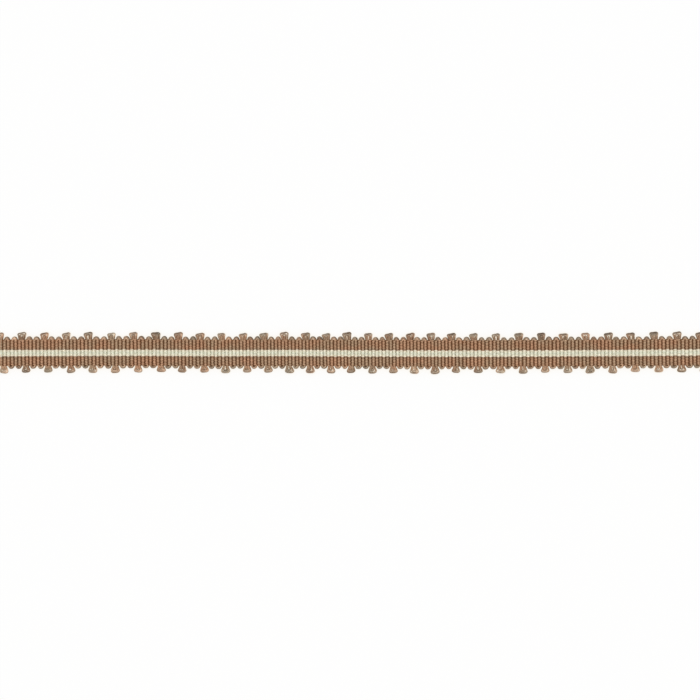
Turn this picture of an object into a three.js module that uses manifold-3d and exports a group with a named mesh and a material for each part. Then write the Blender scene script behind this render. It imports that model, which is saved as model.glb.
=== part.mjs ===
// A cut length of picot braid, lying flat, in millimetres, +Z up.
// X runs along the braid, Y across it, and Z = 0 is the surface that it lies on.
// The braid is woven in one piece: thick weft ribs run across under fine warp, and the weft turns back outside the warp at both edges, as two plain loops and a longer picot in every repeat of six ribs.
import * as THREE from "three";
import { mergeVertices } from "three/addons/utils/BufferGeometryUtils.js";
import Module from "manifold-3d";

// ---- driving dimensions, mm ----
const FAR_WARP_EDGE = 3.95; // from the middle of the stripe to the edge of the warp, towards +Y
const NEAR_WARP_EDGE = 3.75; // and towards -Y
const EDGE_THICKNESS = 1.0; // of the loops and picots, and of the braid in the grooves between ribs
const CROWN_HEIGHT = 1.42; // top of a rib
const SHOULDER_HEIGHT = 1.3; // where a rib turns down into the groove
const SHOULDER_SHARE = 0.27; // of the rib pitch, from a rib's middle to its shoulder
const BURIED_DEPTH = 0.2; // how far the ribs' layer reaches into the flat layer under it
const REPEAT_RIBS = 6;
const RIBS_BEFORE_FIRST_REPEAT = 1; // ribs between the left cut end and the first whole repeat
const CUT_MARGIN = 0.5; // of the first and last pitch, past the first and last rib

// Pitch of the ribs, from the left cut end to the right one. The braid is packed tighter in its middle.
const RIB_PITCH = [
  { ribs: 28, pitch: 1.112 },
  { ribs: 21, pitch: 1.132 },
  { ribs: 21, pitch: 1.084 },
  { ribs: 21, pitch: 1.047 },
  { ribs: 21, pitch: 1.041 },
  { ribs: 21, pitch: 1.045 },
  { ribs: 21, pitch: 1.123 },
  { ribs: 21, pitch: 1.12 },
  { ribs: 29, pitch: 1.15 },
];

// How far the centre line of the braid wanders from straight as it lies, towards +Y.
const WANDER = [
  { along: -105, aside: 0.0 },
  { along: -84, aside: 0.066 },
  { along: -63, aside: 0.114 },
  { along: -42, aside: 0.003 },
  { along: -21, aside: 0.036 },
  { along: 0, aside: -0.06 },
  { along: 21, aside: -0.144 },
  { along: 42, aside: -0.174 },
  { along: 63, aside: -0.069 },
  { along: 84, aside: 0.054 },
  { along: 105, aside: 0.2 },
];

// Outlines of the edge, from the left to the right. "from" is the rib that "along" counts from, the first or the second of the pair that the weft turns between, and "out" counts from the edge of the warp.
const PLAIN_LOOP = [
  { from: "first", along: -0.42, out: 0.2 },
  { from: "first", along: -0.3, out: 0.64 },
  { from: "first", along: 0.3, out: 0.9 },
  { from: "second", along: -0.1, out: 0.81 },
  { from: "second", along: 0.42, out: 0.28 },
];
const FLAT_PICOT = [
  { from: "first", along: -0.4, out: 0.3 },
  { from: "first", along: -0.4, out: 0.85 },
  { from: "first", along: -0.76, out: 1.6 },
  { from: "first", along: -0.64, out: 1.95 },
  { from: "second", along: 0.54, out: 2.12 },
  { from: "second", along: 0.73, out: 1.72 },
  { from: "second", along: 0.55, out: 0.85 },
  { from: "second", along: 0.5, out: 0.3 },
];
const ROUND_PICOT = [
  { from: "first", along: -0.12, out: 0.25 },
  { from: "first", along: -0.28, out: 0.8 },
  { from: "first", along: -0.55, out: 1.55 },
  { from: "first", along: -0.33, out: 2.0 },
  { from: "second", along: 0.0, out: 2.14 },
  { from: "second", along: 0.7, out: 2.0 },
  { from: "second", along: 0.85, out: 1.55 },
  { from: "second", along: 0.54, out: 0.8 },
  { from: "second", along: 0.4, out: 0.25 },
];

// One repeat of each edge: the place, counted in ribs, of the first rib of each pair.
const FAR_EDGE = [
  { rib: 0, outline: PLAIN_LOOP },
  { rib: 2, outline: PLAIN_LOOP },
  { rib: 4, outline: FLAT_PICOT },
];
const NEAR_EDGE = [
  { rib: 1, outline: PLAIN_LOOP },
  { rib: 3, outline: PLAIN_LOOP },
  { rib: 5, outline: ROUND_PICOT },
];

// Unevenness of the handwork, as the largest change either way.
const UNEVEN = { reach: 0.09, slant: 0.1, shift: 0.07 };

// ---- helpers ----
// A fixed number from -1 to 1 for the n-th loop of an edge and a purpose.
function uneven(n, purpose) {
  const s = Math.sin(n * 12.9898 + purpose * 78.233) * 43758.5453;
  return 2 * (s - Math.floor(s)) - 1;
}

// The ribs' places along X, before the braid is centred.
function ribPlaces() {
  const places = [];
  let x = 0;
  for (const { ribs, pitch } of RIB_PITCH)
    for (let i = 0; i < ribs; i++) {
      places.push(x);
      x += pitch;
    }
  const low = -CUT_MARGIN * RIB_PITCH[0].pitch;
  const high = places.at(-1) + CUT_MARGIN * RIB_PITCH.at(-1).pitch;
  const middle = (low + high) / 2;
  return {
    ribs: places.map((p) => p - middle),
    low: low - middle,
    high: high - middle,
  };
}

const { ribs, low: LEFT_END, high: RIGHT_END } = ribPlaces();

// The smooth curve through the rows of WANDER.
const wanderCurve = new THREE.SplineCurve(
  WANDER.map(({ along, aside }) => new THREE.Vector2(along, aside)),
);
const wanderPoints = wanderCurve.getPoints(400);
function wander(x) {
  if (x <= wanderPoints[0].x) return wanderPoints[0].y;
  for (let i = 1; i < wanderPoints.length; i++) {
    const a = wanderPoints[i - 1],
      b = wanderPoints[i];
    if (x <= b.x) return a.y + ((b.y - a.y) * (x - a.x)) / (b.x - a.x);
  }
  return wanderPoints.at(-1).y;
}

// One edge's outline from the left cut end to the right one, as points (x, distance from the middle of the stripe).
function edgeOutline(edge, warpEdge, seed) {
  const points = [new THREE.Vector2(LEFT_END, warpEdge)];
  const start = RIBS_BEFORE_FIRST_REPEAT - REPEAT_RIBS;
  let n = 0;
  for (let base = start; base < ribs.length; base += REPEAT_RIBS)
    for (const { rib, outline } of edge) {
      const i = base + rib;
      if (i < 0 || i + 1 >= ribs.length) continue;
      const at = { first: ribs[i], second: ribs[i + 1] };
      const reach = 1 + UNEVEN.reach * uneven(n, seed);
      const slant = UNEVEN.slant * uneven(n, seed + 1);
      const shift = UNEVEN.shift * uneven(n, seed + 2);
      n++;
      const middle = (at.first + at.second) / 2;
      for (const { from, along, out } of outline) {
        const far = Math.min(out / 2, 1); // only the outer part leans or shifts
        const x = at[from] + along + shift * far;
        points.push(
          new THREE.Vector2(
            x,
            warpEdge + out * reach + slant * far * (x - middle),
          ),
        );
      }
      // the notch between this loop and the next
      if (i + 2 < ribs.length)
        points.push(
          new THREE.Vector2((ribs[i + 1] + ribs[i + 2]) / 2 + 0.04, warpEdge),
        );
    }
  points.push(new THREE.Vector2(RIGHT_END, warpEdge));
  return points;
}

// The flat layer: the whole outline of the braid, as thick as the loops.
function flatLayer() {
  const far = edgeOutline(FAR_EDGE, FAR_WARP_EDGE, 1);
  const near = edgeOutline(NEAR_EDGE, NEAR_WARP_EDGE, 11)
    .reverse()
    .map((p) => new THREE.Vector2(p.x, -p.y));
  return new THREE.ExtrudeGeometry(new THREE.Shape([...near, ...far]), {
    depth: EDGE_THICKNESS,
    bevelEnabled: false,
  });
}

// The ribs: their section along the braid, run across the warp's width.
function ribLayer() {
  const section = [];
  for (let i = 0; i < ribs.length; i++) {
    const before = i ? ribs[i] - ribs[i - 1] : 2 * (ribs[0] - LEFT_END);
    const after =
      i + 1 < ribs.length ? ribs[i + 1] - ribs[i] : 2 * (RIGHT_END - ribs[i]);
    section.push(
      new THREE.Vector2(ribs[i] - before / 2, EDGE_THICKNESS + 0.02),
      new THREE.Vector2(ribs[i] - SHOULDER_SHARE * before, SHOULDER_HEIGHT),
      new THREE.Vector2(ribs[i], CROWN_HEIGHT),
      new THREE.Vector2(ribs[i] + SHOULDER_SHARE * after, SHOULDER_HEIGHT),
    );
  }
  section.push(
    new THREE.Vector2(RIGHT_END, EDGE_THICKNESS + 0.02),
    new THREE.Vector2(RIGHT_END, EDGE_THICKNESS - BURIED_DEPTH),
    new THREE.Vector2(LEFT_END, EDGE_THICKNESS - BURIED_DEPTH),
  );
  const layer = new THREE.ExtrudeGeometry(new THREE.Shape(section.reverse()), {
    depth: FAR_WARP_EDGE + NEAR_WARP_EDGE,
    bevelEnabled: false,
  });
  layer.rotateX(Math.PI / 2); // the section's height becomes Z, and its depth runs towards -Y
  layer.translate(0, FAR_WARP_EDGE, 0);
  return layer;
}

const wasm = await Module();
wasm.setup();

function solid(geometry) {
  geometry.deleteAttribute("normal");
  geometry.deleteAttribute("uv");
  const merged = mergeVertices(geometry, 1e-4);
  return new wasm.Manifold(
    new wasm.Mesh({
      numProp: 3,
      vertProperties: new Float32Array(merged.attributes.position.array),
      triVerts: new Uint32Array(merged.index.array),
    }),
  );
}

// ---- the braid ----
function braidGeometry() {
  const mesh = solid(flatLayer()).add(solid(ribLayer())).getMesh();
  const positions = new Float32Array(mesh.numVert * 3);
  for (let i = 0; i < mesh.numVert; i++) {
    const [x, y, z] = mesh.vertProperties.subarray(
      i * mesh.numProp,
      i * mesh.numProp + 3,
    );
    positions.set([x, y + wander(x), z], i * 3);
  }
  const geometry = new THREE.BufferGeometry();
  geometry.setAttribute("position", new THREE.BufferAttribute(positions, 3));
  geometry.setIndex(new THREE.BufferAttribute(new Uint32Array(mesh.triVerts), 1));
  geometry.computeBoundingBox();
  const { min, max } = geometry.boundingBox;
  // the origin is under the middle of the braid's box
  geometry.translate(-(min.x + max.x) / 2, -(min.y + max.y) / 2, -min.z);
  geometry.computeVertexNormals();
  return geometry;
}

const braid = new THREE.Mesh(
  braidGeometry(),
  new THREE.MeshStandardMaterial({
    color: new THREE.Color().setRGB(0.565, 0.431, 0.322, THREE.SRGBColorSpace),
    roughness: 0.75,
    metalness: 0,
  }),
);
braid.name = "braid";

const trim = new THREE.Group();
trim.add(braid);

export default trim;
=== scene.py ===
"""A cut length of picot braid, lying flat on a pale floor.

Fine warp ends run along X over and under thick weft ribs. Each weft is six soft strands that
cross the braid side by side, leave the warp at its edge and turn back to the next rib, as a
plain loop or as a longer picot. Lengths are in millimetres here and become metres in the
meshes. "Far" is the +Y edge and "near" the -Y edge.
"""

import math

import bpy
import numpy as np
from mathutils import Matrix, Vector


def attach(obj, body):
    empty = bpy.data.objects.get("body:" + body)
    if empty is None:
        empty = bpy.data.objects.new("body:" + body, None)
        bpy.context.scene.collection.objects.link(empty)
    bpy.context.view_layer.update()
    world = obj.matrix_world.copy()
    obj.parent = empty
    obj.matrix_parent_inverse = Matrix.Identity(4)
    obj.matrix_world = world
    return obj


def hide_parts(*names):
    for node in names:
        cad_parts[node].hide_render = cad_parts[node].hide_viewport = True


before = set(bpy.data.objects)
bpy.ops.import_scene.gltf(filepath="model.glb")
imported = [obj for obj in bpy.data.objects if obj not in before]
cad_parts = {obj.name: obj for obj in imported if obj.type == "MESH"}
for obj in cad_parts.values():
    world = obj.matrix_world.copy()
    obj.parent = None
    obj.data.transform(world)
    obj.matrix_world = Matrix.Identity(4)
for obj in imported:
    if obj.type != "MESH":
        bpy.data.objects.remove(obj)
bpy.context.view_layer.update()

MM = 0.001
rng = np.random.default_rng(20)

# ---- the braid's plan, as in its solid ----
FAR_WARP_EDGE = 3.95  # from the middle of the stripe
NEAR_WARP_EDGE = 3.75
STRIPE_HALF = 0.95
REPEAT_RIBS = 6
RIBS_BEFORE_FIRST_REPEAT = 1
CUT_MARGIN = 0.5

# ribs, pitch
RIB_PITCH = [
    (28, 1.112),
    (21, 1.132),
    (21, 1.084),
    (21, 1.047),
    (21, 1.041),
    (21, 1.045),
    (21, 1.123),
    (21, 1.12),
    (29, 1.15),
]

# along, aside
WANDER = [
    (-105, 0.0),
    (-84, 0.066),
    (-63, 0.114),
    (-42, 0.003),
    (-21, 0.036),
    (0, -0.06),
    (21, -0.144),
    (42, -0.174),
    (63, -0.069),
    (84, 0.054),
    (105, 0.2),
]

UNEVEN = {"reach": 0.09, "slant": 0.1, "shift": 0.07}

# ---- the yarns ----
MID_HEIGHT = 0.71  # of the weave, where the warp ends cross between two ribs
WARP_RISE = 0.58  # of a warp end's middle above or below that, over or under a rib
WARP_HALF_THICK = 0.122
WARP_SQUARENESS = 0.8  # 1 is a plain wave, and less wraps the ribs more tightly
WARP_STEPS = 6  # along each rib
WARP_SIDES = 6
STRAND_RADIUS = 0.15
LOOSE_STRAND_RADIUS = 0.172  # outside the warp
STRAND_COLUMN = 0.14  # from a rib's middle to each of its two columns of strands
STRAND_ROW = 0.3  # from one of its three rows to the next
STRAND_STEP = 0.16
STRAND_SIDES = 6
RIB_SLANT = -0.01  # aside along X for each mm towards the far edge
SELVEDGE = 0.14  # how far the weave's body reaches past the warp

# ---- how the strands turn, outside the warp's edge ----
# rib: "a" and "b" are the two ribs that a turn joins, and "m" is the middle between them
# rib, outer strand's along and out, inner strand's along and out
FAR_LOOP = [
    ("a", -0.14, -0.55, 0.14, -0.55),
    ("a", -0.13, -0.20, 0.20, -0.20),
    ("a", -0.08, 0.10, 0.32, 0.04),
    ("a", 0.04, 0.44, 0.42, 0.20),
    ("a", 0.22, 0.73, 0.52, 0.34),
    ("m", 0.13, 0.92, 0.15, 0.44),
    ("b", 0.00, 0.77, -0.22, 0.35),
    ("b", 0.24, 0.50, -0.13, 0.18),
    ("b", 0.38, 0.14, -0.04, 0.00),
    ("b", 0.28, -0.18, -0.05, -0.22),
    ("b", 0.14, -0.55, -0.14, -0.55),
]
NEAR_LOOP = [
    ("a", -0.14, -0.55, 0.14, -0.55),
    ("a", -0.11, -0.20, 0.18, -0.20),
    ("a", -0.06, 0.08, 0.28, 0.04),
    ("a", 0.06, 0.38, 0.36, 0.17),
    ("a", 0.22, 0.66, 0.46, 0.27),
    ("m", 0.12, 0.80, 0.12, 0.31),
    ("b", 0.06, 0.68, -0.22, 0.26),
    ("b", 0.31, 0.41, -0.10, 0.14),
    ("b", 0.43, 0.10, -0.03, 0.00),
    ("b", 0.31, -0.18, -0.04, -0.22),
    ("b", 0.14, -0.55, -0.14, -0.55),
]
FLAT_PICOT = [
    ("a", -0.14, -0.55, 0.14, -0.55),
    ("a", -0.16, -0.12, 0.34, -0.15),
    ("a", -0.20, 0.25, 0.43, 0.22),
    ("a", -0.32, 0.70, 0.44, 0.52),
    ("a", -0.50, 1.18, 0.43, 0.84),
    ("a", -0.64, 1.54, 0.42, 1.06),
    ("a", -0.50, 1.81, 0.47, 1.22),
    ("m", -0.06, 2.00, 0.02, 1.28),
    ("b", 0.20, 2.12, -0.46, 1.24),
    ("b", 0.60, 1.88, -0.40, 1.08),
    ("b", 0.54, 1.30, -0.42, 0.84),
    ("b", 0.47, 0.70, -0.43, 0.52),
    ("b", 0.41, 0.22, -0.43, 0.22),
    ("b", 0.30, -0.12, -0.36, -0.15),
    ("b", 0.14, -0.55, -0.14, -0.55),
]
ROUND_PICOT = [
    ("a", -0.14, -0.55, 0.14, -0.55),
    ("a", -0.04, -0.15, 0.28, -0.15),
    ("a", -0.02, 0.20, 0.34, 0.18),
    ("a", -0.12, 0.70, 0.44, 0.46),
    ("a", -0.32, 1.20, 0.43, 0.76),
    ("a", -0.47, 1.62, 0.41, 0.98),
    ("a", -0.26, 1.93, 0.45, 1.13),
    ("m", 0.12, 2.05, 0.10, 1.19),
    ("b", 0.48, 1.93, -0.34, 1.13),
    ("b", 0.79, 1.58, -0.33, 0.96),
    ("b", 0.66, 1.10, -0.38, 0.74),
    ("b", 0.47, 0.62, -0.42, 0.42),
    ("b", 0.29, 0.20, -0.36, 0.18),
    ("b", 0.20, -0.15, -0.28, -0.15),
    ("b", 0.14, -0.55, -0.14, -0.55),
]
# Each turn's six strands: how far in each lies (0 on the outer path, 1 on the inner one), how
# high, in rows from the middle, and how light it is against the ribs, as painted light and shade.
FAR_LOOP_RANKS = [
    (0.0, -1.0, 0.54),
    (0.06, 0.0, 0.66),
    (0.38, -0.7, 0.66),
    (0.46, 0.5, 0.86),
    (0.86, -0.3, 0.95),
    (1.0, 0.9, 1.12),
]
NEAR_LOOP_RANKS = [
    (0.0, -1.0, 0.56),
    (0.07, 0.1, 0.68),
    (0.40, -0.3, 0.76),
    (0.46, 0.9, 0.94),
    (0.90, -1.0, 0.52),
    (1.0, -0.3, 0.70),
]
FLAT_PICOT_RANKS = [
    (0.0, -1.0, 0.45),
    (0.06, 0.2, 0.50),
    (0.30, -0.4, 0.97),
    (0.42, 0.7, 0.86),
    (0.72, 0.0, 0.68),
    (1.0, 0.6, 0.80),
]
ROUND_PICOT_RANKS = [
    (0.0, -1.0, 0.70),
    (0.09, 0.1, 0.85),
    (0.30, -0.4, 1.16),
    (0.48, 0.7, 1.08),
    (0.76, -0.2, 0.84),
    (1.0, 0.2, 0.70),
]

# how light each part of a plain loop is, on its outer strands and on its inner ones, at the near
# edge and at the far one, as painted light and shade
PAINTED_LEG_LIGHT = [
    {"a": (1.02, 0.88), "m": (0.96, 0.98), "b": (0.95, 1.22)},
    {"a": (1.12, 0.76), "m": (1.15, 1.04), "b": (0.6, 0.82)},
]

# one repeat of each edge: the first rib of each pair, its turn
FAR_EDGE = [(0, "loop"), (2, "loop"), (4, "picot")]
NEAR_EDGE = [(1, "loop"), (3, "loop"), (5, "picot")]


# ---- plan helpers ----
def rib_places():
    steps = np.concatenate([np.full(ribs, pitch) for ribs, pitch in RIB_PITCH])
    places = np.concatenate([[0], np.cumsum(steps)[:-1]])
    low = -CUT_MARGIN * RIB_PITCH[0][1]
    high = places[-1] + CUT_MARGIN * RIB_PITCH[-1][1]
    return places - (low + high) / 2


def wander(x):
    """The smooth curve through WANDER's rows, level past its ends."""
    along, aside = (np.array(column, float) for column in zip(*WANDER))
    padded = np.concatenate([[aside[0]], aside, [aside[-1]]])
    t = (np.clip(x, along[0], along[-1]) - along[0]) / (along[1] - along[0])
    i = np.minimum(t.astype(int), len(aside) - 2)
    t = t - i
    p0, p1, p2, p3 = (padded[i + n] for n in range(4))
    return 0.5 * (
        2 * p1
        + (p2 - p0) * t
        + (2 * p0 - 5 * p1 + 4 * p2 - p3) * t**2
        + (3 * p1 - p0 - 3 * p2 + p3) * t**3
    )


def uneven(n, purpose):
    """A fixed number from -1 to 1 for the n-th turn of an edge and a purpose, as in the solid."""
    s = math.sin(n * 12.9898 + purpose * 78.233) * 43758.5453
    return 2 * (s - math.floor(s)) - 1


RIBS = rib_places()
COUNT = len(RIBS)

# The solid's box is centred, picots included, so the plan above is a little off it.
# The left end of the solid's ribs shows by how much.
ribbed = np.array([v.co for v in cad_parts["braid"].data.vertices]) / MM
ribbed = ribbed[ribbed[:, 2] > 1.015]
LEFT_END = RIBS[0] - CUT_MARGIN * RIB_PITCH[0][1]
left_wall = ribbed[ribbed[:, 0] < ribbed[:, 0].min() + 0.005, 1]
ALONG = ribbed[:, 0].min() - LEFT_END
ASIDE = (
    (left_wall.min() + left_wall.max()) / 2
    - (FAR_WARP_EDGE - NEAR_WARP_EDGE) / 2
    - wander(np.array([LEFT_END]))[0]
)

# small unevenness of each rib
rib_shift = rng.normal(0, 0.022, COUNT)
rib_lean = RIB_SLANT + rng.normal(0, 0.006, COUNT)
rib_bow = rng.normal(0, 0.025, COUNT)
rib_rise = rng.normal(0, 0.018, COUNT)


def rib_x(u, y):
    """X at place u, counted in ribs, y from the middle of the stripe."""
    n = np.arange(COUNT)
    x = np.interp(u, n, RIBS + rib_shift)
    x += np.minimum(u, 0) * RIB_PITCH[0][1]
    x += np.maximum(u - (COUNT - 1), 0) * RIB_PITCH[-1][1]
    lean, bow = np.interp(u, n, rib_lean), np.interp(u, n, rib_bow)
    return x + lean * y + bow * ((y / 4) ** 2 - 0.3)


def placed(x, y, z):
    """Points in the braid's own frame, in metres."""
    return np.stack([x + ALONG, y + wander(x) + ASIDE, z], -1) * MM


# ---- mesh helpers ----
def build_mesh(name, verts, quads, tris, quad_maps, tri_maps, values=None):
    """A smooth mesh piece. maps are {name: corners' UVs}, and values {name: a number for each vertex}."""
    me = bpy.data.meshes.new(name)
    me.vertices.add(len(verts))
    me.vertices.foreach_set("co", np.ascontiguousarray(verts, np.float32).ravel())
    corners = np.concatenate([quads.ravel(), tris.ravel()]).astype(np.int32)
    me.loops.add(len(corners))
    me.loops.foreach_set("vertex_index", corners)
    starts = np.concatenate(
        [
            np.arange(len(quads)) * 4,
            len(quads) * 4 + np.arange(len(tris)) * 3,
        ]
    ).astype(np.int32)
    me.polygons.add(len(starts))
    me.polygons.foreach_set("loop_start", starts)
    me.polygons.foreach_set("use_smooth", np.ones(len(starts), bool))
    me.update(calc_edges=True)
    for key in quad_maps:
        layer = me.uv_layers.new(name=key)
        uv = np.concatenate([quad_maps[key].reshape(-1, 2), tri_maps[key].reshape(-1, 2)])
        layer.data.foreach_set("uv", uv.astype(np.float32).ravel())
    for key, numbers in (values or {}).items():
        attribute = me.attributes.new(key, "FLOAT", "POINT")
        attribute.data.foreach_set("value", np.asarray(numbers, np.float32))
    me.validate()
    ob = bpy.data.objects.new(name, me)
    bpy.context.scene.collection.objects.link(ob)
    return ob


def tubes(name, yarns, sides, rows_each, tone_spread):
    """One piece of closed tubes. Each yarn is {points (mm, placed in metres later), half_wide, half_thick}.

    The map "OFBake" lays each yarn out in rows_each rows of its own, and "yarn" holds the length
    along the yarn in mm and the turn round it.
    """
    theta = np.arange(sides) / sides * 2 * np.pi
    all_verts, all_quads, all_tris, tones, unshaded_parts, tips = [], [], [], [], [], []
    maps = {"OFBake": ([], []), "yarn": ([], [])}
    rows = len(yarns) * rows_each
    base = 0
    for number, yarn in enumerate(yarns):
        p = yarn["points"]
        n = len(p)
        along = np.gradient(p, axis=0)
        along /= np.linalg.norm(along, axis=1, keepdims=True)
        side = np.cross([0.0, 0.0, 1.0], along)
        side /= np.linalg.norm(side, axis=1, keepdims=True)
        up = np.cross(along, side)
        wide = np.broadcast_to(yarn["half_wide"], n)[:, None, None] * MM
        thick = np.broadcast_to(yarn["half_thick"], n)[:, None, None] * MM
        ring = (
            p[:, None]
            + wide * np.cos(theta)[None, :, None] * side[:, None]
            + thick * np.sin(theta)[None, :, None] * up[:, None]
        )
        all_verts += [ring.reshape(-1, 3), p[[0, -1]]]
        i, k = np.meshgrid(np.arange(n - 1), np.arange(sides), indexing="ij")
        k2 = (k + 1) % sides
        quads = np.stack(
            [i * sides + k, i * sides + k2, (i + 1) * sides + k2, (i + 1) * sides + k], -1
        ).reshape(-1, 4)
        all_quads.append(quads + base)
        k, k2 = np.arange(sides), (np.arange(sides) + 1) % sides
        start, end = n * sides, n * sides + 1
        last = (n - 1) * sides
        all_tris.append(
            np.concatenate(
                [
                    np.stack([np.full(sides, start), k2, k], -1),
                    np.stack([np.full(sides, end), last + k, last + k2], -1),
                ]
            )
            + base
        )
        base += n * sides + 2
        # maps
        length = np.concatenate(
            [[0], np.cumsum(np.linalg.norm(np.diff(p, axis=0), axis=1))]
        )
        share = length / length[-1] * rows_each
        middle = (share[1:] + share[:-1]) / 2
        row = np.minimum(middle.astype(int), rows_each - 1)
        first = np.array([share[:-1][row == r].min() for r in range(rows_each)])
        last_share = np.array([share[1:][row == r].max() for r in range(rows_each)])
        span = (last_share - first)[row]
        u0 = 0.004 + 0.975 * (share[:-1] - first[row]) / span
        u1 = 0.004 + 0.975 * (share[1:] - first[row]) / span
        high = 1 / rows
        v_low = (number * rows_each + row) * high + 0.12 * high
        v = v_low[:, None] + 0.76 * high * (np.arange(sides + 1) / sides)[None]
        quad_uv = np.empty((n - 1, sides, 4, 2))
        quad_uv[:, :, 0] = np.stack([np.repeat(u0[:, None], sides, 1), v[:, :-1]], -1)
        quad_uv[:, :, 1] = np.stack([np.repeat(u0[:, None], sides, 1), v[:, 1:]], -1)
        quad_uv[:, :, 2] = np.stack([np.repeat(u1[:, None], sides, 1), v[:, 1:]], -1)
        quad_uv[:, :, 3] = np.stack([np.repeat(u1[:, None], sides, 1), v[:, :-1]], -1)
        maps["OFBake"][0].append(quad_uv)
        mm = length / MM
        turn = np.arange(sides + 1) / sides
        yarn_uv = np.empty((n - 1, sides, 4, 2))
        m0, m1 = (np.repeat(m[:, None], sides, 1) for m in (mm[:-1], mm[1:]))
        t0, t1 = (np.repeat(t[None], n - 1, 0) for t in (turn[:-1], turn[1:]))
        for corner, (m, t) in enumerate(((m0, t0), (m0, t1), (m1, t1), (m1, t0))):
            yarn_uv[:, :, corner] = np.stack([m, t], -1)
        maps["yarn"][0].append(yarn_uv)
        # the two cut faces lie in the free end of the yarn's first and last row
        for at, distance in ((0, 0.0), (rows_each - 1, mm[-1])):
            middle_uv = np.array([0.989, (number * rows_each + at + 0.5) * high])
            size = np.array([0.005, 0.35 * high])
            a = middle_uv + size * np.stack([np.cos(theta), np.sin(theta)], -1)
            b = np.roll(a, -1, 0)
            c = np.broadcast_to(middle_uv, a.shape)
            pair = (c, b, a) if at == 0 else (c, a, b)
            maps["OFBake"][1].append(np.stack(pair, 1))
            t_mid = (np.arange(sides) + 0.5) / sides
            flat = np.stack([np.full((sides, 3), distance), np.repeat(t_mid[:, None], 3, 1)], -1)
            maps["yarn"][1].append(flat)
        # painted shade from each point's height, lifted where a yarn asks for it, as at the ends of the turns; the
        # cut faces sit mostly in that shade
        unshaded = yarn["unshaded"](ring[:, :, 2].ravel() / MM)
        unshaded += (1 - unshaded) * np.repeat(yarn.get("shade_lift", np.zeros(n)), sides)
        unshaded_parts.append(np.concatenate([unshaded, [0.3, 0.3]]))
        tone = rng.normal(0, tone_spread)
        slow = np.interp(
            mm, np.linspace(0, mm[-1], 60), rng.normal(0, tone_spread * 0.5, 60)
        )
        # a yarn's light carries the painted light and shade of its turns
        level = (1 + tone + slow) * yarn.get("light", 1.0)
        tones += [np.repeat(level, sides), np.full(2, 0.8 * (1 + tone))]
        tips += [np.repeat(yarn.get("tip", np.zeros(n)), sides), np.zeros(2)]
    return build_mesh(
        name,
        np.concatenate(all_verts),
        np.concatenate(all_quads),
        np.concatenate(all_tris),
        {k: np.concatenate([q.reshape(-1, 4, 2) for q in m[0]]) for k, m in maps.items()},
        {k: np.concatenate([t.reshape(-1, 3, 2) for t in m[1]]) for k, m in maps.items()},
        {
            "tone": np.concatenate(tones),
            "unshaded": np.concatenate(unshaded_parts),
            "tip": np.concatenate(tips),
        },
    )


def risen(low, high):
    """A function from a height to 0 at the depth of low and 1 at the height of high, smoothly."""

    def share(z):
        t = np.clip((z - low) / (high - low), 0, 1)
        return t * t * (3 - 2 * t)

    return share


# ---- the warp ----
def on_crown(z):
    """How far a warp end is out of the painted groove shade: 1 on a rib's crown, above or below, and 0 in the
    grooves.
    """
    return risen(0.2, 0.68)(np.abs(z - MID_HEIGHT))


def warp_wave(u):
    """From -1 to 1: where an even end lies at place u, above or below the middle of the weave."""
    c = np.cos(np.pi * u)
    return np.sign(c) * np.abs(c) ** WARP_SQUARENESS


def warp_end(k, y, pitch):
    u = np.arange(-0.5 * WARP_STEPS, (COUNT - 0.5) * WARP_STEPS + 1) / WARP_STEPS
    u[0] += 0.02 + rng.uniform(0, 0.05)
    u[-1] -= 0.02 + rng.uniform(0, 0.05)
    wave = warp_wave(u) * (1 if k % 2 == 0 else -1)
    drift = np.interp(u, np.linspace(-1, COUNT, 70), rng.normal(0, 0.012, 70))
    y = y + drift
    nearest = np.clip(np.round(u), 0, COUNT - 1).astype(int)
    rise = WARP_RISE + np.where(wave > 0, rib_rise[nearest], 0) * np.abs(wave)
    z = MID_HEIGHT + wave * rise
    return {
        "points": placed(rib_x(u, y), y, z),
        "half_wide": pitch * (0.46 + 0.5 * np.abs(wave) ** 1.5),
        "half_thick": WARP_HALF_THICK + 0.012 * (1 - np.abs(wave)),
        # painted shade: the warp end darkens in the grooves between the ribs
        "unshaded": on_crown,
        "tip": np.clip(1 - np.abs(np.abs(y) - STRIPE_HALF) / 0.7, 0, 1),
    }


def warp_group(first, count, y_high, y_low):
    pitch = (y_high - y_low) / count
    return [
        warp_end(first + i, y_high - (i + 0.5) * pitch, pitch) for i in range(count)
    ]


warp_far = tubes(
    "warp_brown_far", warp_group(0, 13, FAR_WARP_EDGE, STRIPE_HALF), WARP_SIDES, 6, 0.05
)
warp_stripe = tubes(
    "warp_cream_stripe", warp_group(13, 10, STRIPE_HALF, -STRIPE_HALF), WARP_SIDES, 8, 0.016
)
warp_near = tubes(
    "warp_brown_near", warp_group(23, 12, -STRIPE_HALF, -NEAR_WARP_EDGE), WARP_SIDES, 6, 0.05
)


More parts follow.
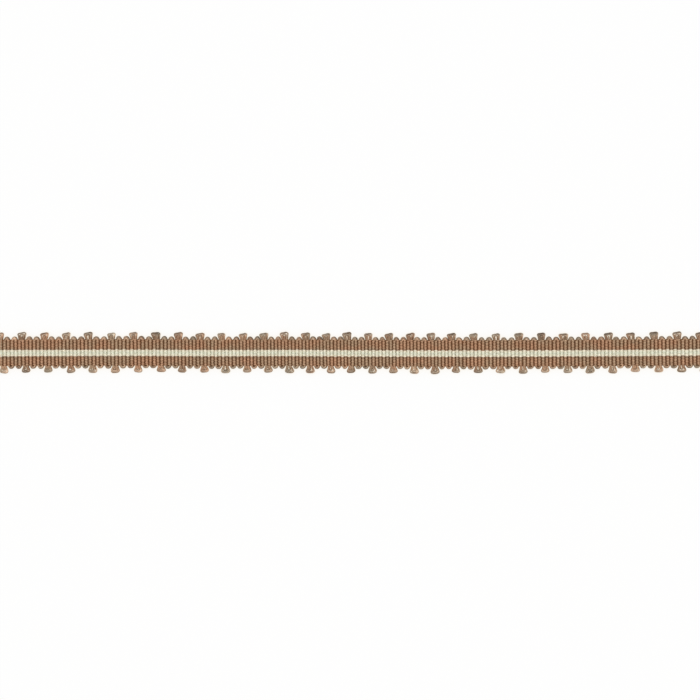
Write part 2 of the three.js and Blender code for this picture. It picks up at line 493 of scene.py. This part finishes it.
# ---- the weft ----
def smooth_path(points, step):
    """A centripetal Catmull-Rom curve through the points, in equal steps. Further columns follow."""
    p = np.concatenate([[2 * points[0] - points[1]], points, [2 * points[-1] - points[-2]]])
    gaps = np.maximum(np.linalg.norm(np.diff(p[:, :3], axis=0), axis=1), 1e-6) ** 0.5
    out = []
    for i in range(1, len(p) - 2):
        g0, g1, g2 = gaps[i - 1], gaps[i], gaps[i + 1]
        m1 = (p[i] - p[i - 1]) / g0 - (p[i + 1] - p[i - 1]) / (g0 + g1) + (p[i + 1] - p[i]) / g1
        m2 = (p[i + 1] - p[i]) / g1 - (p[i + 2] - p[i]) / (g1 + g2) + (p[i + 2] - p[i + 1]) / g2
        m1, m2 = m1 * g1, m2 * g1
        t = np.arange(10)[:, None] / 10
        out.append(
            (2 * t**3 - 3 * t**2 + 1) * p[i]
            + (t**3 - 2 * t**2 + t) * m1
            + (3 * t**2 - 2 * t**3) * p[i + 1]
            + (t**3 - t**2) * m2
        )
    dense = np.concatenate([*out, p[-2:-1]])
    steps = np.linalg.norm(np.diff(dense[:, :3], axis=0), axis=1)
    length = np.concatenate([[0], np.cumsum(steps)])
    n = max(int(round(length[-1] / step)), 4)
    at = np.linspace(0, length[-1], n + 1)
    return np.stack([np.interp(at, length, column) for column in dense.T], -1)


def turns():
    """{first rib: (is far, is a picot, its unevenness)} for every turn of both edges."""
    found = {}
    for far, edge, seed in ((True, FAR_EDGE, 1), (False, NEAR_EDGE, 11)):
        n = 0
        for base in range(RIBS_BEFORE_FIRST_REPEAT - REPEAT_RIBS, COUNT, REPEAT_RIBS):
            for rib, kind in edge:
                i = base + rib
                if i < 0 or i + 1 >= COUNT:
                    continue
                found[i] = (
                    far,
                    kind == "picot",
                    1 + UNEVEN["reach"] * uneven(n, seed),
                    UNEVEN["slant"] * uneven(n, seed + 1),
                    UNEVEN["shift"] * uneven(n, seed + 2),
                )
                n += 1
    return found


TURNS = turns()


def turn_path(i, rank, strand):
    """A strand's turn from rib i to the next. Rank 0 is the outermost of the six, and 5 the innermost."""
    far, picot, reach, slant, shift = TURNS[i]
    if picot:
        shape, ranks = (FLAT_PICOT, FLAT_PICOT_RANKS) if far else (ROUND_PICOT, ROUND_PICOT_RANKS)
    else:
        shape, ranks = (FAR_LOOP, FAR_LOOP_RANKS) if far else (NEAR_LOOP, NEAR_LOOP_RANKS)
    q, high, light = ranks[rank]
    row = strand % 3 - 1
    edge, way = (FAR_WARP_EDGE, 1) if far else (NEAR_WARP_EDGE, -1)
    jq, jx, jz, jout, jlight = TURN_JITTER[i, rank]
    loose = 1.0 if rank else 0.4  # the outermost strand keeps the turn's outline
    q = q * (1 + 0.3 * TURN_JITTER[i, :, 2].mean()) + 0.14 * jq * loose
    light *= 1 + 0.2 * jlight
    shade = 1 + 0.3 * TURN_JITTER[i, :, 4].mean()
    lean = 0.22 * TURN_JITTER[i, :, 1].mean()
    at = {"a": RIBS[i], "b": RIBS[i + 1], "m": (RIBS[i] + RIBS[i + 1]) / 2}
    points = []
    for rib, oa, oo, ia, io in shape:
        along, out = oa + (ia - oa) * q, oo + (io - oo) * q
        out *= 1 - 0.06 * (jout + 1) * loose if out > 0 else 1
        outer = min(max(out, 0) / 2, 1)
        x = at[rib] + along + shift * outer + (0.1 * jx * loose + lean) * min(outer * 1.6, 1)
        if out > 0:
            out = out * reach + slant * outer * (x - at["m"])
        # the turn keeps to its ribs, which lean and bow a little
        n = i + {"a": 0.0, "m": 0.5, "b": 1.0}[rib]
        y = way * (edge + out)
        x += float(rib_x(np.array([n]), np.array([y]))[0] - np.interp(n, np.arange(COUNT), RIBS))
        free = min(max((out + 0.4) / 0.5, 0), 1)
        lies = row + (high + 0.15 * jz - row) * free
        z = MID_HEIGHT + 0.05 * free - 0.16 * outer + lies * STRAND_ROW * (1 - 0.15 * outer)
        # the greyer tint starts further in on a loop than on a picot, and a flat picot has less of it along its top
        tip = min(max((out - 0.9) / 0.6, 0), 1) if picot else min(max((out - 0.15) / 0.5, 0), 0.85)
        if picot and far:
            tip -= 0.35 * min(max((out - 1.8) / 0.25, 0), 1)
        # painted light and shade: a plain loop's legs differ, and a picot is darker at its base and about halfway
        # out and lighter at its corners
        leg = float(np.interp(q, (0, 0.5), PAINTED_LEG_LIGHT[far][rib])) if not picot else 1.0
        end = min(max((out - 1.0) / 0.6, 0), 1) * 0.7 + 0.3 if picot else 1.0
        base = 1 - (0.28 if far else 0.04) * min(max((1.3 - out) / 0.8, 0), 1) if picot else 1.0
        waist = 1 - 0.18 * max(1 - abs(out - 1.05) / 0.6, 0) if picot else 1.0
        aside = min(max((abs(x - at["m"]) - 0.6) / 0.5, 0), 1)
        corner = 1 + (1.2 if far and x > at["m"] else 0.55) * aside if out > 1 else 1.0
        level = 1 + ((1 + (light - 1) * end) * leg * base * waist * corner * shade - 1) * free
        points.append((x, y, max(z, LOOSE_STRAND_RADIUS + 0.01), level, tip, free))
    return smooth_path(np.array(points), STRAND_STEP)


# for each turn and strand: how far in, along, how high, how far out, how light
TURN_JITTER = rng.uniform(-1, 1, (COUNT, 6, 5))


def weft_strand(s):
    """One strand from the first rib to the last: the outermost at the far edge is the innermost at the near one."""
    path = []

    def cut_end(i, place):
        column = -1 if (s < 3) == (i % 2 == 1) else 1
        y = FAR_WARP_EDGE + place
        x = rib_x(np.array([float(i)]), np.array([y]))[0] + column * STRAND_COLUMN
        return [x, y, MID_HEIGHT + (s % 3 - 1) * STRAND_ROW, 1.0, 0.0, 0.0]

    path.append([cut_end(0, 0.1 + 0.08 * TURN_JITTER[0, s, 2]), cut_end(0, -0.5)])
    for i in range(COUNT - 1):
        far = TURNS[i][0]
        path.append(turn_path(i, s if far else 5 - s, s))
    path.append([cut_end(COUNT - 1, -0.5), cut_end(COUNT - 1, 0.1 + 0.08 * TURN_JITTER[-1, s, 2])])
    p = np.concatenate([np.asarray(part, float) for part in path])
    radius = STRAND_RADIUS + (LOOSE_STRAND_RADIUS - STRAND_RADIUS) * p[:, 5]
    return {
        "points": placed(p[:, 0], p[:, 1], p[:, 2]),
        "half_wide": radius,
        "half_thick": radius,
        # painted shade: the lower strands are darker
        "unshaded": risen(0.42, 0.98),
        # painted light and shade along the strand, from its turns
        "light": p[:, 3],
        "tip": p[:, 4],
        "shade_lift": 0.6 * p[:, 4],  # the painted shade of the low strands is lifted towards the ends of the turns
    }


weft_a = tubes("weft_strands_a", [weft_strand(s) for s in (0, 2, 4)], STRAND_SIDES, 48, 0.03)
weft_b = tubes("weft_strands_b", [weft_strand(s) for s in (1, 3, 5)], STRAND_SIDES, 48, 0.03)


# ---- the body of the weave, as it shows between the threads ----
def woven_ground():
    steps = 8
    u = np.arange(-0.5 * steps, (COUNT - 0.5) * steps + 1) / steps
    u[0] += 0.19
    u[-1] -= 0.19
    across = np.array(
        [
            FAR_WARP_EDGE + SELVEDGE,
            FAR_WARP_EDGE - 0.14,
            2.5,
            STRIPE_HALF,
            0.0,
            -STRIPE_HALF,
            -2.4,
            -NEAR_WARP_EDGE + 0.14,
            -NEAR_WARP_EDGE - SELVEDGE,
        ]
    )
    aside = np.abs(u - np.round(u)) / 0.28  # of the way from the strands' middle to their side
    swell = np.maximum(0.42 * np.sqrt(np.clip(1 - aside**2, 0, 1)), 0.04)
    swell = swell[:, None] * np.where(np.abs(across - 0.1) > 3.8, 0.35, 1.0)
    U, Y = np.meshgrid(u, across, indexing="ij")
    X = rib_x(U.ravel(), Y.ravel()).reshape(U.shape)
    tops = placed(X, Y, MID_HEIGHT + swell)
    unders = placed(X, Y, MID_HEIGHT - swell)
    n, m = U.shape
    verts = np.concatenate([tops.reshape(-1, 3), unders.reshape(-1, 3)])
    i, k = (a.ravel() for a in np.meshgrid(np.arange(n - 1), np.arange(m - 1), indexing="ij"))
    a, b, c, d = i * m + k, (i + 1) * m + k, (i + 1) * m + k + 1, i * m + k + 1
    under = n * m
    top_quads = np.stack([a, d, c, b], -1)
    under_quads = np.stack([a, b, c, d], -1) + under
    e = np.arange(n - 1)
    far_wall = np.stack([e * m, (e + 1) * m, (e + 1) * m + under, e * m + under], -1)
    last = m - 1
    near_wall = np.stack(
        [e * m + last, e * m + last + under, (e + 1) * m + last + under, (e + 1) * m + last], -1
    )
    f = np.arange(m - 1)
    left = np.stack([f, f + under, f + 1 + under, f + 1], -1)
    g = (n - 1) * m + f
    right = np.stack([g, g + 1, g + 1 + under, g + under], -1)
    quads = np.concatenate([top_quads, under_quads, far_wall, near_wall, left, right])
    # six rows of the map for each face, and two for the walls
    place = verts[quads] / MM
    kind = np.repeat(
        [0, 1, 2, 2, 3, 3],
        [len(top_quads), len(under_quads), len(far_wall), len(near_wall), len(left), len(right)],
    )
    x, y, z = place[..., 0], place[..., 1] - ASIDE, place[..., 2]
    share = (x + 112.5) / 225 * 6
    row = np.clip(share.mean(1).astype(int), 0, 5)
    u_map = 0.01 + 0.97 * np.clip((share - row[:, None] + 0.05) / 1.1, 0, 1)
    v_map = np.clip((y + 4.3) / 8.8, 0, 1)
    wall = kind == 2
    v_wall = 0.35 * z / 1.5 + np.where(y > 0, 0.55, 0.05)
    v = np.where(wall[:, None], v_wall, v_map)
    slot = np.where(kind == 0, row, np.where(kind == 1, 6 + row, 12 + row))
    v_final = (slot[:, None] + 0.06 + 0.88 * v) / 18
    uv = np.stack([u_map, v_final], -1)
    for which, at in ((left, 0.2), (right, 0.6)):  # the end walls
        ids = np.nonzero(kind == 3)[0]
        ids = ids[: len(left)] if at == 0.2 else ids[len(left) :]
        uv[ids, :, 0] = 0.985 + 0.01 * z[ids] / 1.5
        uv[ids, :, 1] = at + 0.1 * (y[ids] + 4.3) / 8.8
    none = np.zeros((0, 3), int)
    yarn = np.stack([x, y], -1)
    return build_mesh(
        "woven_ground",
        verts,
        quads,
        none,
        {"OFBake": uv, "yarn": yarn},
        {"OFBake": np.zeros((0, 3, 2)), "yarn": np.zeros((0, 3, 2))},
        {"tone": np.ones(len(verts)), "unshaded": np.zeros(len(verts))},
    )


ground = woven_ground()


# ---- materials ----
class Nodes:
    """A short way to wire a material's nodes."""

    def __init__(self, name):
        self.material = bpy.data.materials.new(name)
        self.material.use_nodes = True
        self.tree = self.material.node_tree
        self.tree.nodes.clear()
        self.out = self.tree.nodes.new("ShaderNodeOutputMaterial")
        self.shader = self.tree.nodes.new("ShaderNodeBsdfPrincipled")
        self.link(self.shader.outputs[0], self.out.inputs[0])

    def link(self, a, b):
        self.tree.links.new(a, b)

    def put(self, socket, value):
        if isinstance(value, bpy.types.NodeSocket):
            self.link(value, socket)
        else:
            socket.default_value = value

    def math(self, operation, a, b=0.0, clamp=False):
        node = self.tree.nodes.new("ShaderNodeMath")
        node.operation, node.use_clamp = operation, clamp
        self.put(node.inputs[0], a)
        self.put(node.inputs[1], b)
        return node.outputs[0]

    def noise(self, vector, scale, detail=2.0, rough=0.5):
        node = self.tree.nodes.new("ShaderNodeTexNoise")
        self.link(vector, node.inputs["Vector"])
        node.inputs["Scale"].default_value = scale
        node.inputs["Detail"].default_value = detail
        node.inputs["Roughness"].default_value = rough
        return node.outputs["Fac"]

    def scaled(self, vector, by):
        node = self.tree.nodes.new("ShaderNodeVectorMath")
        node.operation = "MULTIPLY"
        self.link(vector, node.inputs[0])
        node.inputs[1].default_value = by
        return node.outputs[0]

    def ramp(self, value, stops):
        node = self.tree.nodes.new("ShaderNodeValToRGB")
        ramp = node.color_ramp
        while len(ramp.elements) < len(stops):
            ramp.elements.new(0.5)
        for element, (place, colour) in zip(ramp.elements, stops):
            element.position = place
            element.color = (*colour, 1)
        self.link(value, node.inputs[0])
        return node.outputs[0]

    def times(self, a, b):
        """Colour a times colour or number b."""
        node = self.tree.nodes.new("ShaderNodeMix")
        node.data_type, node.blend_type = "RGBA", "MULTIPLY"
        node.inputs[0].default_value = 1
        self.put(node.inputs[6], a)
        self.put(node.inputs[7], b)
        return node.outputs[2]


def yarn_material(
    name, shade_colour, tips, dark, middle, light, plies, twist, shine, sheen, rough, relief, varied
):
    """Spun yarn: plies that wind round each other, with fine fibres along them.

    Its first colour is the painted shade down in the grooves and on the low strands, as a share of
    its colour out of that shade, and tips is its tint at the picots' ends and at the warp ends along
    the stripe's edge. The dye of a varied yarn is a little redder in places and greener in others.
    """
    n = Nodes(name)
    uv = n.tree.nodes.new("ShaderNodeUVMap")
    uv.uv_map = "yarn"
    split = n.tree.nodes.new("ShaderNodeSeparateXYZ")
    n.link(uv.outputs[0], split.inputs[0])
    along, turn = split.outputs[0], split.outputs[1]
    # the plies' ridges wind round the yarn
    phase = n.math("MULTIPLY", n.math("ADD", n.math("DIVIDE", along, twist), turn), plies)
    wave = n.math("ABSOLUTE", n.math("SINE", n.math("MULTIPLY", phase, math.pi)))
    ridge = n.math("POWER", wave, 0.6)
    # fibres: long along the yarn, fine round it, turned with the plies
    turned = n.tree.nodes.new("ShaderNodeCombineXYZ")
    n.link(n.math("MULTIPLY", along, 2.2), turned.inputs[0])
    n.link(
        n.math("MULTIPLY", n.math("ADD", n.math("DIVIDE", along, twist), turn), 26),
        turned.inputs[1],
    )
    fibres = n.noise(turned.outputs[0], 1.0, 2.0, 0.6)
    place = n.tree.nodes.new("ShaderNodeTexCoord").outputs["Object"]
    patches = n.noise(place, 900.0, 3.0, 0.6)
    speckle = n.noise(place, 5200.0, 2.0, 0.6)
    tone = n.tree.nodes.new("ShaderNodeAttribute")
    tone.attribute_name = "tone"
    mixed = n.math("ADD", n.math("MULTIPLY", patches, 0.55), n.math("MULTIPLY", fibres, 0.45))
    colour = n.ramp(mixed, [(0.37, dark), (0.5, middle), (0.63, light)])
    # painted shade in the creases between the plies
    ply_shade = n.math("ADD", n.math("MULTIPLY", ridge, 0.3), 0.72)
    fine = n.math("ADD", n.math("MULTIPLY", speckle, 0.24), 0.88)
    level = n.math("MULTIPLY", n.math("MULTIPLY", ply_shade, fine), tone.outputs["Fac"])
    grey = n.tree.nodes.new("ShaderNodeCombineColor")
    for socket in grey.inputs:
        n.link(level, socket)
    # painted shade: the yarn darkens towards its first colour in the grooves and on the low strands
    unshaded = n.tree.nodes.new("ShaderNodeAttribute")
    unshaded.attribute_name = "unshaded"
    shade = n.ramp(unshaded.outputs["Fac"], [(0.0, shade_colour), (1.0, (1, 1, 1))])
    tip = n.tree.nodes.new("ShaderNodeAttribute")
    tip.attribute_name = "tip"
    tints = n.ramp(tip.outputs["Fac"], [(0.0, (1, 1, 1)), (1.0, tips)])
    if varied:
        dye = n.ramp(n.noise(place, 260.0, 1.0), [(0.36, (1.07, 0.965, 0.90)), (0.64, (0.955, 1.02, 1.01))])
        tints = n.times(tints, dye)
    shade = n.times(shade, tints)
    n.put(n.shader.inputs["Base Color"], n.times(n.times(colour, grey.outputs[0]), shade))
    n.put(
        n.shader.inputs["Roughness"],
        n.math("ADD", n.math("MULTIPLY", fibres, 0.2), rough - 0.1, True),
    )
    n.shader.inputs["Specular IOR Level"].default_value = shine
    n.shader.inputs["Sheen Weight"].default_value = sheen
    n.shader.inputs["Sheen Roughness"].default_value = 0.45
    n.shader.inputs["Sheen Tint"].default_value = (*light, 1)
    height = n.math("ADD", n.math("MULTIPLY", ridge, 0.8), n.math("MULTIPLY", fibres, 0.35))
    bump = n.tree.nodes.new("ShaderNodeBump")
    bump.inputs["Strength"].default_value = 1.0
    bump.inputs["Distance"].default_value = relief * MM
    n.link(height, bump.inputs["Height"])
    n.link(bump.outputs[0], n.shader.inputs["Normal"])
    return n.material


brown_warp = yarn_material(
    "brown_warp_yarn",
    (0.385, 0.165, 0.03),
    (0.78, 0.86, 0.94),
    (0.418, 0.263, 0.165),
    (0.497, 0.317, 0.203),
    (0.566, 0.371, 0.245),
    plies=2,
    twist=0.62,
    shine=0.12,
    sheen=0.08,
    rough=0.62,
    relief=0.035,
    varied=True,
)
cream_warp = yarn_material(
    "cream_warp_yarn",
    (0.91, 0.90, 0.89),
    (1.17, 1.04, 1.0),
    (0.80, 0.80, 0.635),
    (0.86, 0.865, 0.705),
    (0.905, 0.905, 0.755),
    plies=2,
    twist=0.62,
    shine=0.22,
    sheen=0.1,
    rough=0.62,
    relief=0.035,
    varied=False,
)
brown_weft = yarn_material(
    "brown_weft_yarn",
    (0.42, 0.31, 0.21),
    (0.90, 1.07, 1.24),
    (0.42, 0.262, 0.165),
    (0.49, 0.312, 0.20),
    (0.56, 0.365, 0.24),
    plies=3,
    twist=0.9,
    shine=0.14,
    sheen=0.1,
    rough=0.66,
    relief=0.045,
    varied=True,
)


def ground_material():
    """What shows between the threads: a brown as dark as painted shade, and a dimmed cream under the stripe, with
    fine cross threads.
    """
    n = Nodes("ground_yarn")
    uv = n.tree.nodes.new("ShaderNodeUVMap")
    uv.uv_map = "yarn"
    split = n.tree.nodes.new("ShaderNodeSeparateXYZ")
    n.link(uv.outputs[0], split.inputs[0])
    aside = n.math("ABSOLUTE", split.outputs[1])
    stripe = n.math("LESS_THAN", aside, STRIPE_HALF)
    # painted shade: the brown is as dark as the grooves between the ribs, and the cream is dimmed too
    colour = n.ramp(stripe, [(0.2, (0.17, 0.085, 0.035)), (0.8, (0.70, 0.69, 0.54))])
    threads = n.noise(n.scaled(uv.outputs[0], (7.0, 0.6, 1.0)), 1.0, 2.0)
    level = n.math("ADD", n.math("MULTIPLY", threads, 0.4), 0.8)
    grey = n.tree.nodes.new("ShaderNodeCombineColor")
    for socket in grey.inputs:
        n.link(level, socket)
    n.put(n.shader.inputs["Base Color"], n.times(colour, grey.outputs[0]))
    n.shader.inputs["Roughness"].default_value = 0.8
    n.shader.inputs["Specular IOR Level"].default_value = 0.2
    bump = n.tree.nodes.new("ShaderNodeBump")
    bump.inputs["Distance"].default_value = 0.03 * MM
    n.link(threads, bump.inputs["Height"])
    n.link(bump.outputs[0], n.shader.inputs["Normal"])
    return n.material


for piece, material, slot in (
    (warp_far, brown_warp, "brown_yarn"),
    (warp_stripe, cream_warp, "cream_yarn"),
    (warp_near, brown_warp, "brown_yarn"),
    (weft_a, brown_weft, "brown_yarn"),
    (weft_b, brown_weft, "brown_yarn"),
    (ground, ground_material(), "brown_yarn"),
):
    piece.data.materials.append(material)
    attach(piece, "root")

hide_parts("braid")


# ---- floor, light and camera ----
def floor():
    me = bpy.data.meshes.new("pale_floor")
    half = 12.0
    me.from_pydata(
        [(-half, -half, 0), (half, -half, 0), (half, half, 0), (-half, half, 0)], [], [(0, 1, 2, 3)]
    )
    ob = bpy.data.objects.new("pale_floor", me)
    bpy.context.scene.collection.objects.link(ob)
    material = bpy.data.materials.new("pale_floor")
    material.use_nodes = True
    shader = material.node_tree.nodes["Principled BSDF"]
    shader.inputs["Base Color"].default_value = (0.10, 0.19, 0.34, 1)
    shader.inputs["Roughness"].default_value = 0.9
    shader.inputs["Specular IOR Level"].default_value = 0.0
    # its own glow makes it an even white, with a soft warm shade close to the braid
    shader.inputs["Emission Color"].default_value = (0.876, 0.769, 0.59, 1)
    shader.inputs["Emission Strength"].default_value = 1.0
    me.materials.append(material)
    return ob


floor()

world = bpy.data.worlds.new("studio")
bpy.context.scene.world = world
world.use_nodes = True
world.node_tree.nodes["Background"].inputs[0].default_value = (1.0, 1.0, 1.0, 1)
world.node_tree.nodes["Background"].inputs[1].default_value = 0.93


def softbox(name, place, size, watts):
    data = bpy.data.lights.new(name, "AREA")
    data.shape, data.size, data.size_y = "RECTANGLE", *size
    data.energy = watts
    ob = bpy.data.objects.new(name, data)
    ob.location = place
    ob.rotation_euler = (-Vector(place)).to_track_quat("-Z", "Y").to_euler()
    bpy.context.scene.collection.objects.link(ob)


softbox("overhead", (0.0, 0.05, 1.3), (1.2, 1.2), 5.4)

# the photograph's view, straight down: 210 mm wide
VIEW_WIDTH = 0.210
camera_data = bpy.data.cameras.new("camera")
camera_data.lens, camera_data.sensor_width = 100, 36
camera = bpy.data.objects.new("camera", camera_data)
bpy.context.scene.collection.objects.link(camera)
camera.location = (
    -0.02 * MM,
    (ASIDE + 0.948) * MM,
    VIEW_WIDTH / 2 * camera_data.lens / (camera_data.sensor_width / 2) + 1.0 * MM,
)
camera.rotation_euler = (0, 0, 0)
camera_data.clip_start, camera_data.clip_end = 0.01, 20
bpy.context.scene.camera = camera

scene = bpy.context.scene
scene.view_settings.view_transform = "Standard"
scene.view_settings.look = "None"
